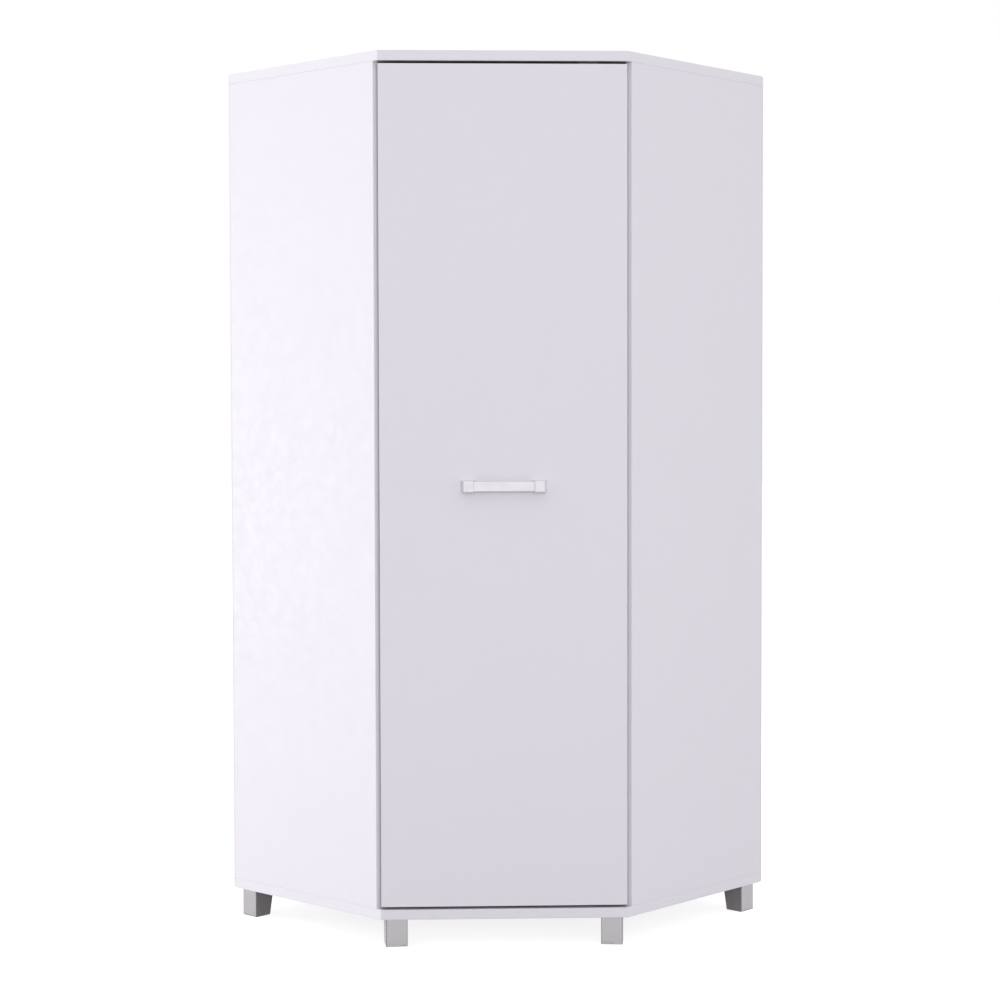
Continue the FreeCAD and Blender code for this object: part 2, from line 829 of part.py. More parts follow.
def make_catch(nodes):
    """Magnetic catch under the top board and its strike plate on the door."""
    x1 = front_half_width - catch_from_side
    x0 = x1 - catch_length
    middle = (x0 + x1) / 2
    strike_back = door_back_y + strike_thick
    y0 = strike_back + catch_gap
    low = inside_roof - catch_height
    body = box(x0, x1, y0, y0 + catch_depth, low, inside_roof)
    low_edges = [e for e in body.Edges if abs(e.CenterOfMass.z - inside_roof) > same_place]
    body = body.makeFillet(catch_round, low_edges)
    strike_top = inside_roof - strike_drop
    strike_low = strike_top - strike_height
    half_magnet = magnet_length / 2
    magnet = box(middle - half_magnet, middle + half_magnet, y0, y0 + magnet_thick, strike_low, strike_top)
    nodes["catch_magnet"] = magnet
    nodes["magnetic_catch"] = body.cut(magnet)
    half = strike_length / 2
    nodes["strike_plate"] = box(
        middle - half, middle + half, door_back_y, strike_back, strike_low, strike_top
    )
    catch_screws = []
    strike_screws = []
    for side in (-1, 1):
        place = Vec(middle + side * catch_screw_spacing / 2, y0 + catch_depth / 2, low)
        length = catch_height - screw_head_height + catch_screw_bite
        catch_screws.append(
            sunk_screw(["magnetic_catch", "top_board"], screw_radius, length, place, Vec(0, 0, 1))
        )
        place = Vec(middle + side * strike_screw_spacing / 2, strike_back, (strike_low + strike_top) / 2)
        strike_screws.append(strike_screw(place))
    nodes["catch_screws"] = Part.makeCompound(catch_screws)
    nodes["strike_screws"] = Part.makeCompound(strike_screws)


def strike_screw(place):
    """Small countersunk screw, flush with the strike plate's face."""
    inward = Vec(0, -1, 0)
    tip = place + inward * short_screw
    cone = Part.makeCone(screw_head_ratio * pin_screw_radius, pin_screw_radius, strike_thick, place, inward)
    shank = rod(pin_screw_radius, short_screw - strike_thick, place + inward * strike_thick, inward)
    drill("strike_plate", cone)
    drill("door", rod(pin_screw_radius + bore_gap, short_screw, tip, -inward))
    return cone.fuse(shank).removeSplitter()


def build():
    """Every piece by name, with its holes cut."""
    nodes = {
        "top_board": five_sided_board(inside_roof),
        "bottom_board": five_sided_board(bottom_z),
        "left_side_panel": to_room(side_panel()),
        "right_side_panel": to_room(mirrored_wall(side_panel())),
        "left_back_panel": to_room(back_panel(0)),
        "right_back_panel": to_room(mirrored_wall(back_panel(back_thick))),
        "rear_post_left": to_room(rear_post(back_thick)),
        "rear_post_right": to_room(mirrored_wall(rear_post(post_inner))),
        "shelf": shelf_board(),
        "door": door_slab(),
    }
    make_feet(nodes)
    make_carcase_joints(nodes)
    make_back_nails(nodes)
    make_post_screws(nodes)
    make_shelf_pins(nodes)
    make_rail(nodes)
    make_wall_brackets(nodes)
    make_handle(nodes)
    make_hinges(nodes)
    make_catch(nodes)
    for name, tools in bores.items():
        nodes[name] = nodes[name].cut(Part.makeCompound(tools))
    return nodes


def main():
    """Write one file per piece."""
    os.makedirs("parts", exist_ok=True)
    for name, shape in build().items():
        shape.exportStep(os.path.join("parts", name + ".step"))


main()
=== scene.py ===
"""Looks of the corner wardrobe: finishes, screw heads, studio light and camera."""
import logging
import math
from dataclasses import dataclass, field
from enum import Enum

import bmesh
import bpy
from mathutils import Matrix, Vector


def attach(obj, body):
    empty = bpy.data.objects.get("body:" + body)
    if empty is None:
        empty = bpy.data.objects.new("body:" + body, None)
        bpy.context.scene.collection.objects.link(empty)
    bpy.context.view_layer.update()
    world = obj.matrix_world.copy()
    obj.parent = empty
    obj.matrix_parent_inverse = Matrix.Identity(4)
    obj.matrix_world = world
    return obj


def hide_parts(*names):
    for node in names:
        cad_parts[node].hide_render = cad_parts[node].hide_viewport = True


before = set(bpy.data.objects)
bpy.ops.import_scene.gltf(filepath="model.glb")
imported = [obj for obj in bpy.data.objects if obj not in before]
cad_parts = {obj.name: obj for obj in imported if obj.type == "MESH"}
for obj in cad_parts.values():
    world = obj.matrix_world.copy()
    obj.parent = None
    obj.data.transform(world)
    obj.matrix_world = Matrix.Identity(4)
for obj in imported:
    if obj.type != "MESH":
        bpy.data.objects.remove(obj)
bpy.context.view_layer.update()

LOG = logging.getLogger("corner_wardrobe")

MM = 0.001
HALF_ROOT = math.sqrt(0.5)
OPAQUE = 1.0
MERGE_DISTANCE = 0.001 * MM
SORT_DIGITS = 4

RISING = (0.0, 1.0)
FALLING = (1.0, 0.0)
NOISE_SPAN = (0.3, 0.7)
UNSCALED = Vector((1.0, 1.0, 1.0))
UP = Vector((0.0, 0.0, 1.0))
FRONT = Vector((0.0, -1.0, 0.0))
SORT_LINE = Vector((0.14, 0.37, 0.92))

Colour = tuple[float, float, float]
Socket = bpy.types.NodeSocket


class Lie(Enum):
    """How a board stands, as the turn about Z that lays its width along X, in degrees."""

    ACROSS = 0.0
    LEFT_SIDE = 45.0
    RIGHT_SIDE = -45.0


class Body(Enum):
    """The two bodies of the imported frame."""

    CARCASE = "carcase"
    DOOR = "door"


class Slot(Enum):
    """Material slot of the record for the zinc finish that the new pieces wear."""

    ZINC = "zinc_steel"


class Facing(Enum):
    """Ways in which a screw's head can look out, in the part's frame."""

    DOWN = (0.0, 0.0, -1.0)
    INTO_ROOM = (0.0, 1.0, 0.0)
    OFF_LEFT_PANEL = (HALF_ROOT, HALF_ROOT, 0.0)


class Foot(Enum):
    """The feet, each with the turn about Z of its outer face from the door's side, in degrees."""

    FOOT_FRONT_LEFT = 7.0
    FOOT_FRONT_RIGHT = -7.0
    FOOT_LEFT = -45.0
    FOOT_RIGHT = 45.0
    FOOT_REAR = 180.0


class Graph:
    """The node tree of one material, with a method for each kind of node that the finishes use."""

    def __init__(self, name: str) -> None:
        """Start a material that has only its shader and Object coordinates.

        Args:
            name: Name of the new material.
        """
        self.material = bpy.data.materials.new(name)
        self.material.use_nodes = True
        self.tree = self.material.node_tree
        self.tree.nodes.clear()
        self.shader = self.tree.nodes.new("ShaderNodeBsdfPrincipled")
        output = self.tree.nodes.new("ShaderNodeOutputMaterial")
        self.tree.links.new(self.shader.outputs["BSDF"], output.inputs["Surface"])
        coordinates = self.tree.nodes.new("ShaderNodeTexCoord")
        self.place = coordinates.outputs["Object"]
        self.normal = coordinates.outputs["Normal"]

    def put(self, socket: Socket, value: object) -> None:
        """Give a socket its value, which is a constant or another node's output.

        Args:
            socket: Input socket to fill.
            value: Number, colour, vector or output socket.
        """
        if isinstance(value, Socket):
            self.tree.links.new(value, socket)
        elif socket.type == "RGBA":
            socket.default_value = (*value, OPAQUE)
        else:
            socket.default_value = value

    def shade(self, **inputs: object) -> bpy.types.Material:
        """Fill the shader's sockets and hand back the finished material.

        Args:
            **inputs: Socket names with underscores for spaces, and their values.

        Returns:
            The material.
        """
        for name, value in inputs.items():
            self.put(self.shader.inputs[name.replace("_", " ").title()], value)
        return self.material

    def turned(self, degrees: float, centre: Vector, scale: Vector) -> Socket:
        """Object coordinates moved to a centre, turned about Z and then scaled.

        Args:
            degrees: Turn about Z.
            centre: Point of the turned frame that becomes the origin.
            scale: Scale along each turned axis.

        Returns:
            The vector socket.
        """
        turn = self.tree.nodes.new("ShaderNodeMapping")
        turn.inputs["Rotation"].default_value = (0.0, 0.0, math.radians(degrees))
        turn.inputs["Location"].default_value = -centre
        self.put(turn.inputs["Vector"], self.place)
        stretch = self.tree.nodes.new("ShaderNodeMapping")
        stretch.inputs["Scale"].default_value = scale
        self.put(stretch.inputs["Vector"], turn.outputs["Vector"])
        return stretch.outputs["Vector"]

    def noise(self, place: Socket, scale: float, detail: float = 2.0) -> Socket:
        """Noise texture, as a value about 0.5.

        Args:
            place: Coordinates.
            scale: Cells per metre.
            detail: Octaves.

        Returns:
            The value socket.
        """
        node = self.tree.nodes.new("ShaderNodeTexNoise")
        self.put(node.inputs["Vector"], place)
        node.inputs["Scale"].default_value = scale
        node.inputs["Detail"].default_value = detail
        return node.outputs["Fac"]

    def flakes(self, place: Socket, scale: float) -> Socket:
        """Voronoi cells, each with its own random value.

        Args:
            place: Coordinates.
            scale: Cells per metre.

        Returns:
            The value socket.
        """
        node = self.tree.nodes.new("ShaderNodeTexVoronoi")
        self.put(node.inputs["Vector"], place)
        node.inputs["Scale"].default_value = scale
        split = self.tree.nodes.new("ShaderNodeSeparateColor")
        self.put(split.inputs["Color"], node.outputs["Color"])
        return split.outputs["Red"]

    def ridges(self, place: Socket, scale: float, direction: str) -> Socket:
        """Regular sine ridges along one axis.

        Args:
            place: Coordinates.
            scale: Scale of the wave texture.
            direction: Axis across the ridges, "X", "Y" or "Z".

        Returns:
            The value socket.
        """
        node = self.tree.nodes.new("ShaderNodeTexWave")
        node.bands_direction = direction
        self.put(node.inputs["Vector"], place)
        node.inputs["Scale"].default_value = scale
        return node.outputs["Fac"]

    def spread(self, value: Socket, source: tuple[float, float], target: tuple[float, float]) -> Socket:
        """Value carried over from one range to another, held at its ends.

        Args:
            value: Value to change.
            source: Range that it comes in.
            target: Range that it goes to.

        Returns:
            The value socket.
        """
        node = self.tree.nodes.new("ShaderNodeMapRange")
        self.put(node.inputs["Value"], value)
        node.inputs["From Min"].default_value, node.inputs["From Max"].default_value = source
        node.inputs["To Min"].default_value, node.inputs["To Max"].default_value = target
        return node.outputs["Result"]

    def sum(self, kind: str, first: object, second: object = 0.0) -> Socket:
        """One step of arithmetic.

        Args:
            kind: Operation of the Math node.
            first: First value or socket.
            second: Second value or socket.

        Returns:
            The value socket.
        """
        node = self.tree.nodes.new("ShaderNodeMath")
        node.operation = kind
        self.put(node.inputs[0], first)
        self.put(node.inputs[1], second)
        return node.outputs["Value"]

    def tint(self, amount: Socket, low: object, high: object) -> Socket:
        """Colour between two colours.

        Args:
            amount: Share of the second colour.
            low: First colour or socket.
            high: Second colour or socket.

        Returns:
            The colour socket.
        """
        node = self.tree.nodes.new("ShaderNodeMix")
        node.data_type = "RGBA"
        factor, first, second = (s for s in node.inputs if s.enabled)
        self.put(factor, amount)
        self.put(first, low)
        self.put(second, high)
        return next(s for s in node.outputs if s.enabled)

    def axes(self, place: Socket) -> tuple[Socket, Socket, Socket]:
        """The three parts of a vector.

        Args:
            place: Vector to split.

        Returns:
            The X, Y and Z sockets.
        """
        node = self.tree.nodes.new("ShaderNodeSeparateXYZ")
        self.put(node.inputs["Vector"], place)
        return tuple(node.outputs)

    def facing(self, direction: Vector) -> Socket:
        """How far the surface looks along a direction, from -1 to 1.

        Args:
            direction: Unit vector in the part's frame.

        Returns:
            The value socket.
        """
        node = self.tree.nodes.new("ShaderNodeVectorMath")
        node.operation = "DOT_PRODUCT"
        self.put(node.inputs[0], self.normal)
        node.inputs[1].default_value = direction
        return node.outputs["Value"]

    def bump(self, height: Socket, depth: float, strength: float) -> Socket:
        """Normal of a surface with fine relief.

        Args:
            height: Height from 0 to 1.
            depth: Depth of the relief in metres.
            strength: Strength of the effect.

        Returns:
            The normal socket.
        """
        node = self.tree.nodes.new("ShaderNodeBump")
        self.put(node.inputs["Height"], height)
        node.inputs["Distance"].default_value = depth
        node.inputs["Strength"].default_value = strength
        return node.outputs["Normal"]


def shaded(colour: Colour, share: float) -> Colour:
    """A colour scaled by a share.

    Args:
        colour: Linear colour.
        share: Factor on each channel.

    Returns:
        The scaled colour.
    """
    return tuple(channel * share for channel in colour)


def board_box(name: str, lie: Lie) -> tuple[Vector, Vector]:
    """Middle and half size of a node, in the frame turned so that its width lies along X.

    Args:
        name: Node of the frame.
        lie: How the board stands.

    Returns:
        The middle and the half sizes.
    """
    turn = Matrix.Rotation(math.radians(lie.value), 3, "Z")
    places = [turn @ vertex.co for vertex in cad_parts[name].data.vertices]
    low = Vector(min(p[i] for p in places) for i in range(3))
    high = Vector(max(p[i] for p in places) for i in range(3))
    return (low + high) / 2, (high - low) / 2


@dataclass(frozen=True)
class WhiteBoard:
    """White melamine on chipboard: faint cloudy tone, pressed grain, glued edge strips."""

    colour: Colour = (0.790, 0.757, 0.826)
    cloud_scale: float = 1.6
    cloud_share: float = 0.975
    grain_scale: float = 420.0
    grain_detail: float = 4.0
    grain_stretch: float = 0.035
    grain_share: float = 0.985
    wear_scale: float = 52.5
    wear_detail: float = 3.0
    roughness: tuple[float, float] = (0.54, 0.66)
    relief: float = 0.05 * MM
    relief_strength: float = 0.25
    strip: float = 1.0 * MM
    joint_line: float = 0.35 * MM
    joint_share: float = 0.86
    bare_ends_and_gap_shade: bool = False
    end_edge: tuple[float, float] = (0.85, 0.95)
    chip: Colour = (0.135, 0.085, 0.050)
    light_chip: Colour = (0.260, 0.175, 0.105)
    chip_scale: float = 520.0

    def material(self, name: str, lie: Lie) -> bpy.types.Material:
        """Finish of one board, with its grain along the board and a joint line beside each edge.

        Args:
            name: Node that the finish is for.
            lie: How the board stands.

        Returns:
            The material.
        """
        graph = Graph(name + "_melamine")
        middle, half = board_box(name, lie)
        local = graph.turned(lie.value, middle, UNSCALED)
        stretched = graph.turned(lie.value, middle, self.grain_direction(half))
        clouds = graph.noise(local, self.cloud_scale)
        grain = graph.noise(stretched, self.grain_scale, self.grain_detail)
        plain = graph.tint(clouds, shaded(self.colour, self.cloud_share), self.colour)
        shade = graph.tint(grain, shaded(self.colour, self.grain_share), plain)
        line = self.joint(graph, local, half)
        colour = graph.tint(line, shade, shaded(self.colour, self.joint_share))
        # Dark bare chipboard on the top and bottom ends: partly the chipboard's colour, partly painted
        # shade for the door's gaps.
        if self.bare_ends_and_gap_shade:
            colour = self.with_bare_ends_and_gap_shade(graph, colour)
        wear = graph.noise(local, self.wear_scale, self.wear_detail)
        return graph.shade(
            base_color=colour,
            roughness=graph.spread(wear, NOISE_SPAN, self.roughness),
            normal=graph.bump(grain, self.relief, self.relief_strength),
        )

    def with_bare_ends_and_gap_shade(self, graph: Graph, face: Socket) -> Socket:
        """Colour with the chips of the core showing on the top and bottom ends, dark partly as painted
        shade for the gaps above and below the door.

        Args:
            graph: Node tree of the finish.
            face: Colour of the faces.

        Returns:
            The colour socket.
        """
        chips = graph.flakes(graph.place, self.chip_scale)
        core = graph.tint(chips, self.chip, self.light_chip)
        upright = graph.sum("ABSOLUTE", graph.facing(UP))
        return graph.tint(graph.spread(upright, self.end_edge, RISING), face, core)

    def grain_direction(self, half: Vector) -> Vector:
        """Scale that stretches the grain along the longest side of the board.

        Args:
            half: Half sizes of the board.

        Returns:
            Scale along each axis.
        """
        longest = max(range(3), key=lambda axis: half[axis])
        return Vector(self.grain_stretch if axis == longest else 1.0 for axis in range(3))

    def joint(self, graph: Graph, local: Socket, half: Vector) -> Socket:
        """Line where the edge strip meets the face, one strip thickness from each edge.

        Args:
            graph: Node tree of the finish.
            local: Coordinates from the middle of the board.
            half: Half sizes of the board.

        Returns:
            The value socket, 1 on the line.
        """
        reach = []
        for axis, part in enumerate(graph.axes(local)):
            away = graph.sum("ABSOLUTE", part)
            reach.append(graph.sum("SUBTRACT", half[axis], away))
        least = graph.sum("MINIMUM", graph.sum("MINIMUM", reach[0], reach[1]), reach[2])
        most = graph.sum("MAXIMUM", graph.sum("MAXIMUM", reach[0], reach[1]), reach[2])
        total = graph.sum("ADD", graph.sum("ADD", reach[0], reach[1]), reach[2])
        second = graph.sum("SUBTRACT", graph.sum("SUBTRACT", total, least), most)
        off_line = graph.sum("ABSOLUTE", graph.sum("SUBTRACT", second, self.strip))
        return graph.spread(off_line, (0.0, self.joint_line), FALLING)


@dataclass(frozen=True)
class Hardboard:
    """Pressed hardboard: raw brown fibre with a screen pattern outside, white lacquer inside."""

    fibre: Colour = (0.300, 0.190, 0.105)
    light_fibre: Colour = (0.430, 0.295, 0.175)
    lacquer: Colour = (0.770, 0.750, 0.790)
    fibre_scale: float = 900.0
    fibre_detail: float = 5.0
    fibre_height: float = 0.3
    blotch_scale: float = 7.0
    blotch_detail: float = 3.0
    blotch_share: tuple[float, float] = (0.7, 1.3)
    outer_edge: tuple[float, float] = (0.5, 0.7)
    screen_scale: float = 210.0
    relief: float = 0.25 * MM
    relief_strength: float = 0.45
    roughness: tuple[float, float] = (0.62, 0.88)

    def material(self, name: str, lie: Lie, outward: Vector) -> bpy.types.Material:
        """Finish of one back panel.

        Args:
            name: Node that the finish is for.
            lie: How the panel stands.
            outward: Direction from the panel to the wall.

        Returns:
            The material.
        """
        graph = Graph(name + "_hardboard")
        middle, _ = board_box(name, lie)
        local = graph.turned(lie.value, middle, UNSCALED)
        fibre = graph.noise(local, self.fibre_scale, self.fibre_detail)
        blotch = graph.noise(local, self.blotch_scale, self.blotch_detail)
        mottle = graph.sum("MULTIPLY", fibre, graph.spread(blotch, NOISE_SPAN, self.blotch_share))
        raw = graph.tint(mottle, self.fibre, self.light_fibre)
        outside = graph.spread(graph.facing(outward), self.outer_edge, RISING)
        weft = graph.ridges(local, self.screen_scale, "X")
        warp = graph.ridges(local, self.screen_scale, "Z")
        screen = graph.sum("MULTIPLY", graph.sum("MULTIPLY", weft, warp), outside)
        height = graph.sum("ADD", screen, graph.sum("MULTIPLY", fibre, self.fibre_height))
        return graph.shade(
            base_color=graph.tint(outside, self.lacquer, raw),
            roughness=graph.spread(fibre, NOISE_SPAN, self.roughness),
            normal=graph.bump(height, self.relief, self.relief_strength),
        )


@dataclass(frozen=True)
class SilverPlastic:
    """Silver-coated moulded plastic, scuffed near the floor, with painted shade in dark grey on its
    other faces.
    """

    colour: Colour = (0.378, 0.368, 0.383)
    flake: Colour = (0.425, 0.415, 0.431)
    scuff: Colour = (0.30, 0.29, 0.30)
    # Dark grey for the faces other than the front: painted shade, not the plastic's own colour.
    painted_shade_side: Colour = (0.158, 0.146, 0.152)
    painted_shade_side_mottle: Colour = (0.188, 0.174, 0.181)
    silver_to_painted_shade_edge: tuple[float, float] = (0.72, 0.92)
    metallic: float = 0.9
    flake_scale: float = 2600.0
    peel_scale: float = 520.0
    peel_detail: float = 3.0
    scratch_ratio: float = 3.0
    scratch_detail: float = 5.0
    scratch_edge: tuple[float, float] = (0.5, 0.62)
    scuff_height: float = 9.0 * MM
    roughness: tuple[float, float] = (0.17, 0.27)
    relief: float = 0.03 * MM
    relief_strength: float = 0.3

    def material(self, name: str, outward: Vector) -> bpy.types.Material:
        """Finish of one foot.

        Args:
            name: Node that the finish is for.
            outward: Direction that the foot's silver face looks in; the other faces get painted shade.

        Returns:
            The material.
        """
        graph = Graph(name + "_silver_front_painted_shade_sides")
        flakes = graph.flakes(graph.place, self.flake_scale)
        peel = graph.noise(graph.place, self.peel_scale, self.peel_detail)
        scratches = graph.noise(graph.place, self.peel_scale / self.scratch_ratio, self.scratch_detail)
        height = graph.axes(graph.place)[2]
        low = graph.spread(height, (0.0, self.scuff_height), FALLING)
        worn = graph.sum("MULTIPLY", low, graph.spread(scratches, self.scratch_edge, RISING))
        coat = graph.tint(flakes, self.colour, self.flake)
        # Faces turned away from outward are painted dark: painted shade on the foot's sides.
        front = graph.spread(graph.facing(outward), self.silver_to_painted_shade_edge, RISING)
        plain = graph.tint(peel, self.painted_shade_side, self.painted_shade_side_mottle)
        return graph.shade(
            base_color=graph.tint(front, plain, graph.tint(worn, coat, self.scuff)),
            metallic=graph.sum("MULTIPLY", front, self.metallic),
            roughness=graph.spread(scratches, NOISE_SPAN, self.roughness),
            normal=graph.bump(peel, self.relief, self.relief_strength),
        )


@dataclass(frozen=True)
class BrushedMetal:
    """Metal with fine brush lines along one axis, a smudged gloss and small dull spots."""

    name: str
    colour: Colour
    dull: Colour
    roughness: tuple[float, float]
    metallic: float = 1.0
    line_scale: float = 900.0
    line_detail: float = 4.0
    line_stretch: tuple[float, float, float] = (0.02, 1.0, 1.0)
    smudge_scale: float = 45.0
    smudge_detail: float = 4.0
    mix_share: float = 0.5
    mix_span: tuple[float, float] = (0.32, 0.68)
    relief: float = 0.02 * MM
    relief_strength: float = 0.2

    def material(self) -> bpy.types.Material:
        """Finish with its brush lines and smudges.

        Returns:
            The material.
        """
        graph = Graph(self.name)
        along = graph.turned(0.0, Vector(), Vector(self.line_stretch))
        lines = graph.noise(along, self.line_scale, self.line_detail)
        smudge = graph.noise(graph.place, self.smudge_scale, self.smudge_detail)
        mixed = graph.sum("MULTIPLY", graph.sum("ADD", lines, smudge), self.mix_share)
        return graph.shade(
            base_color=graph.tint(smudge, self.colour, self.dull),
            metallic=self.metallic,
            roughness=graph.spread(mixed, self.mix_span, self.roughness),
            normal=graph.bump(lines, self.relief, self.relief_strength),
        )


@dataclass(frozen=True)
class MouldedPlastic:
    """Plain moulded plastic with a fine eroded surface and a slightly uneven gloss."""

    name: str
    colour: Colour
    deep: Colour
    roughness: tuple[float, float] = (0.38, 0.56)
    erosion_scale: float = 1500.0
    cloud_scale: float = 60.0
    detail: float = 3.0
    relief: float = 0.03 * MM
    relief_strength: float = 0.3

    def material(self) -> bpy.types.Material:
        """Finish with its eroded surface.

        Returns:
            The material.
        """
        graph = Graph(self.name)
        erosion = graph.noise(graph.place, self.erosion_scale, self.detail)
        clouds = graph.noise(graph.place, self.cloud_scale, self.detail)
        return graph.shade(
            base_color=graph.tint(clouds, self.deep, self.colour),
            roughness=graph.spread(erosion, NOISE_SPAN, self.roughness),
            normal=graph.bump(erosion, self.relief, self.relief_strength),
        )


@dataclass(frozen=True)
class Beech:
    """Beech dowel wood with flecks along the grain."""

    pale: Colour = (0.62, 0.44, 0.27)
    fleck: Colour = (0.42, 0.26, 0.14)
    fleck_scale: float = 1100.0
    fleck_detail: float = 3.0
    fleck_span: tuple[float, float] = (0.35, 0.7)
    stretch: tuple[float, float, float] = (1.0, 1.0, 0.08)
    roughness: tuple[float, float] = (0.5, 0.7)
    relief: float = 0.1 * MM
    relief_strength: float = 0.3

    def material(self) -> bpy.types.Material:
        """Finish of the dowels.

        Returns:
            The material.
        """
        graph = Graph("beech_dowel")
        along = graph.turned(0.0, Vector(), Vector(self.stretch))
        flecks = graph.noise(along, self.fleck_scale, self.fleck_detail)
        return graph.shade(
            base_color=graph.tint(graph.spread(flecks, self.fleck_span, RISING), self.pale, self.fleck),
            roughness=graph.spread(flecks, NOISE_SPAN, self.roughness),
            normal=graph.bump(flecks, self.relief, self.relief_strength),
        )


ZINC = BrushedMetal(
    name="zinc_plated_steel",
    colour=(0.60, 0.60, 0.62),
    dull=(0.50, 0.50, 0.50),
    roughness=(0.24, 0.42),
    line_stretch=(1.0, 1.0, 0.1),
    smudge_scale=160.0,
)
CHROME = BrushedMetal(
    name="chromed_tube",
    colour=(0.74, 0.74, 0.75),
    dull=(0.66, 0.66, 0.67),
    roughness=(0.06, 0.16),
)
SATIN = BrushedMetal(
    name="satin_handle_metal",
    colour=(0.705, 0.686, 0.725),
    dull=(0.660, 0.642, 0.679),
    roughness=(0.46, 0.60),
    metallic=0.35,
)
GREY_PLASTIC = MouldedPlastic(
    name="grey_moulded_plastic",
    colour=(0.235, 0.235, 0.243),
    deep=(0.190, 0.190, 0.198),
)
CATCH_PLASTIC = MouldedPlastic(
    name="dark_catch_plastic",
    colour=(0.052, 0.052, 0.055),
    deep=(0.040, 0.040, 0.043),
)
FERRITE = MouldedPlastic(
    name="dark_ferrite",
    colour=(0.060, 0.058, 0.060),
    deep=(0.035, 0.034, 0.036),
    roughness=(0.5, 0.75),
)


def dress(material: bpy.types.Material, *names: str) -> None:
    """Give nodes of the frame a material.

    Args:
        material: Finish to put on.
        *names: Nodes that get it.
    """
    for name in names:
        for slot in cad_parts[name].material_slots:
            slot.material = material
        LOG.info("dressed %s with %s", name, material.name)


def new_piece(
    name: str, mesh: bmesh.types.BMesh, body: Body, material: bpy.types.Material
) -> bpy.types.Object:
    """Make an object of a finished mesh and let it ride on a body.

    Args:
        name: Name of the piece.
        mesh: Finished mesh in the part's frame, freed here.
        body: Body that it moves with.
        material: Finish of the piece.

    Returns:
        The new object.
    """
    data = bpy.data.meshes.new(name)
    mesh.to_mesh(data)
    mesh.free()
    data.materials.append(material)
    piece = bpy.data.objects.new(name, data)
    bpy.context.scene.collection.objects.link(piece)
    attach(piece, body.value)
    LOG.info("built %s on %s", name, body.value)
    return piece


def solids_of(name: str) -> list[list[Vector]]:
    """Corner points of each separate solid in a node of the frame.

    Args:
        name: Node of the frame.

    Returns:
        One list of points for each solid.
    """
    mesh = bmesh.new()
    mesh.from_mesh(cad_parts[name].data)
    bmesh.ops.remove_doubles(mesh, verts=mesh.verts, dist=MERGE_DISTANCE)
    left = set(mesh.verts)
    solids = []
    while left:
        front = [left.pop()]
        solid = []
        while front:
            vertex = front.pop()
            solid.append(vertex.co.copy())
            for edge in vertex.link_edges:
                other = edge.other_vert(vertex)
                if other in left:
                    left.remove(other)
                    front.append(other)
        solids.append(solid)
    mesh.free()
    return sorted(solids, key=sort_place)


def points_middle(points: list[Vector]) -> Vector:
    """Middle of the box round some points.

    Args:
        points: Points to measure.

    Returns:
        The middle.
    """
    low = Vector(min(p[i] for p in points) for i in range(3))
    high = Vector(max(p[i] for p in points) for i in range(3))
    return (low + high) / 2


def sort_place(points: list[Vector]) -> tuple[float, ...]:
    """Rounded middle of a solid's points, which keeps the solids in a steady order.

    Args:
        points: Points of the solid.

    Returns:
        The rounded middle.
    """
    return tuple(round(value, SORT_DIGITS) for value in points_middle(points))


def drawn_out(
    mesh: bmesh.types.BMesh, edges: list[bmesh.types.BMEdge]
) -> tuple[list[bmesh.types.BMEdge], list[bmesh.types.BMVert]]:
    """Extrude a ring of edges.

    Args:
        mesh: Mesh that holds the ring.
        edges: Edges of the ring.

    Returns:
        The new ring's edges and its points.
    """
    made = bmesh.ops.extrude_edge_only(mesh, edges=edges)["geom"]
    points = [item for item in made if isinstance(item, bmesh.types.BMVert)]
    ring = [item for item in made if isinstance(item, bmesh.types.BMEdge)]
    return [edge for edge in ring if set(edge.verts) <= set(points)], points


def put_in_order(mesh: bmesh.types.BMesh) -> None:
    """Sort a mesh along one slanted line, so that every run writes it alike.

    Args:
        mesh: Mesh to sort.
    """
    mesh.verts.sort(key=lambda vert: vert.co.dot(SORT_LINE))
    mesh.edges.sort(key=lambda edge: (edge.verts[0].co + edge.verts[1].co).dot(SORT_LINE))
    mesh.faces.sort(key=lambda face: face.calc_center_median().dot(SORT_LINE))


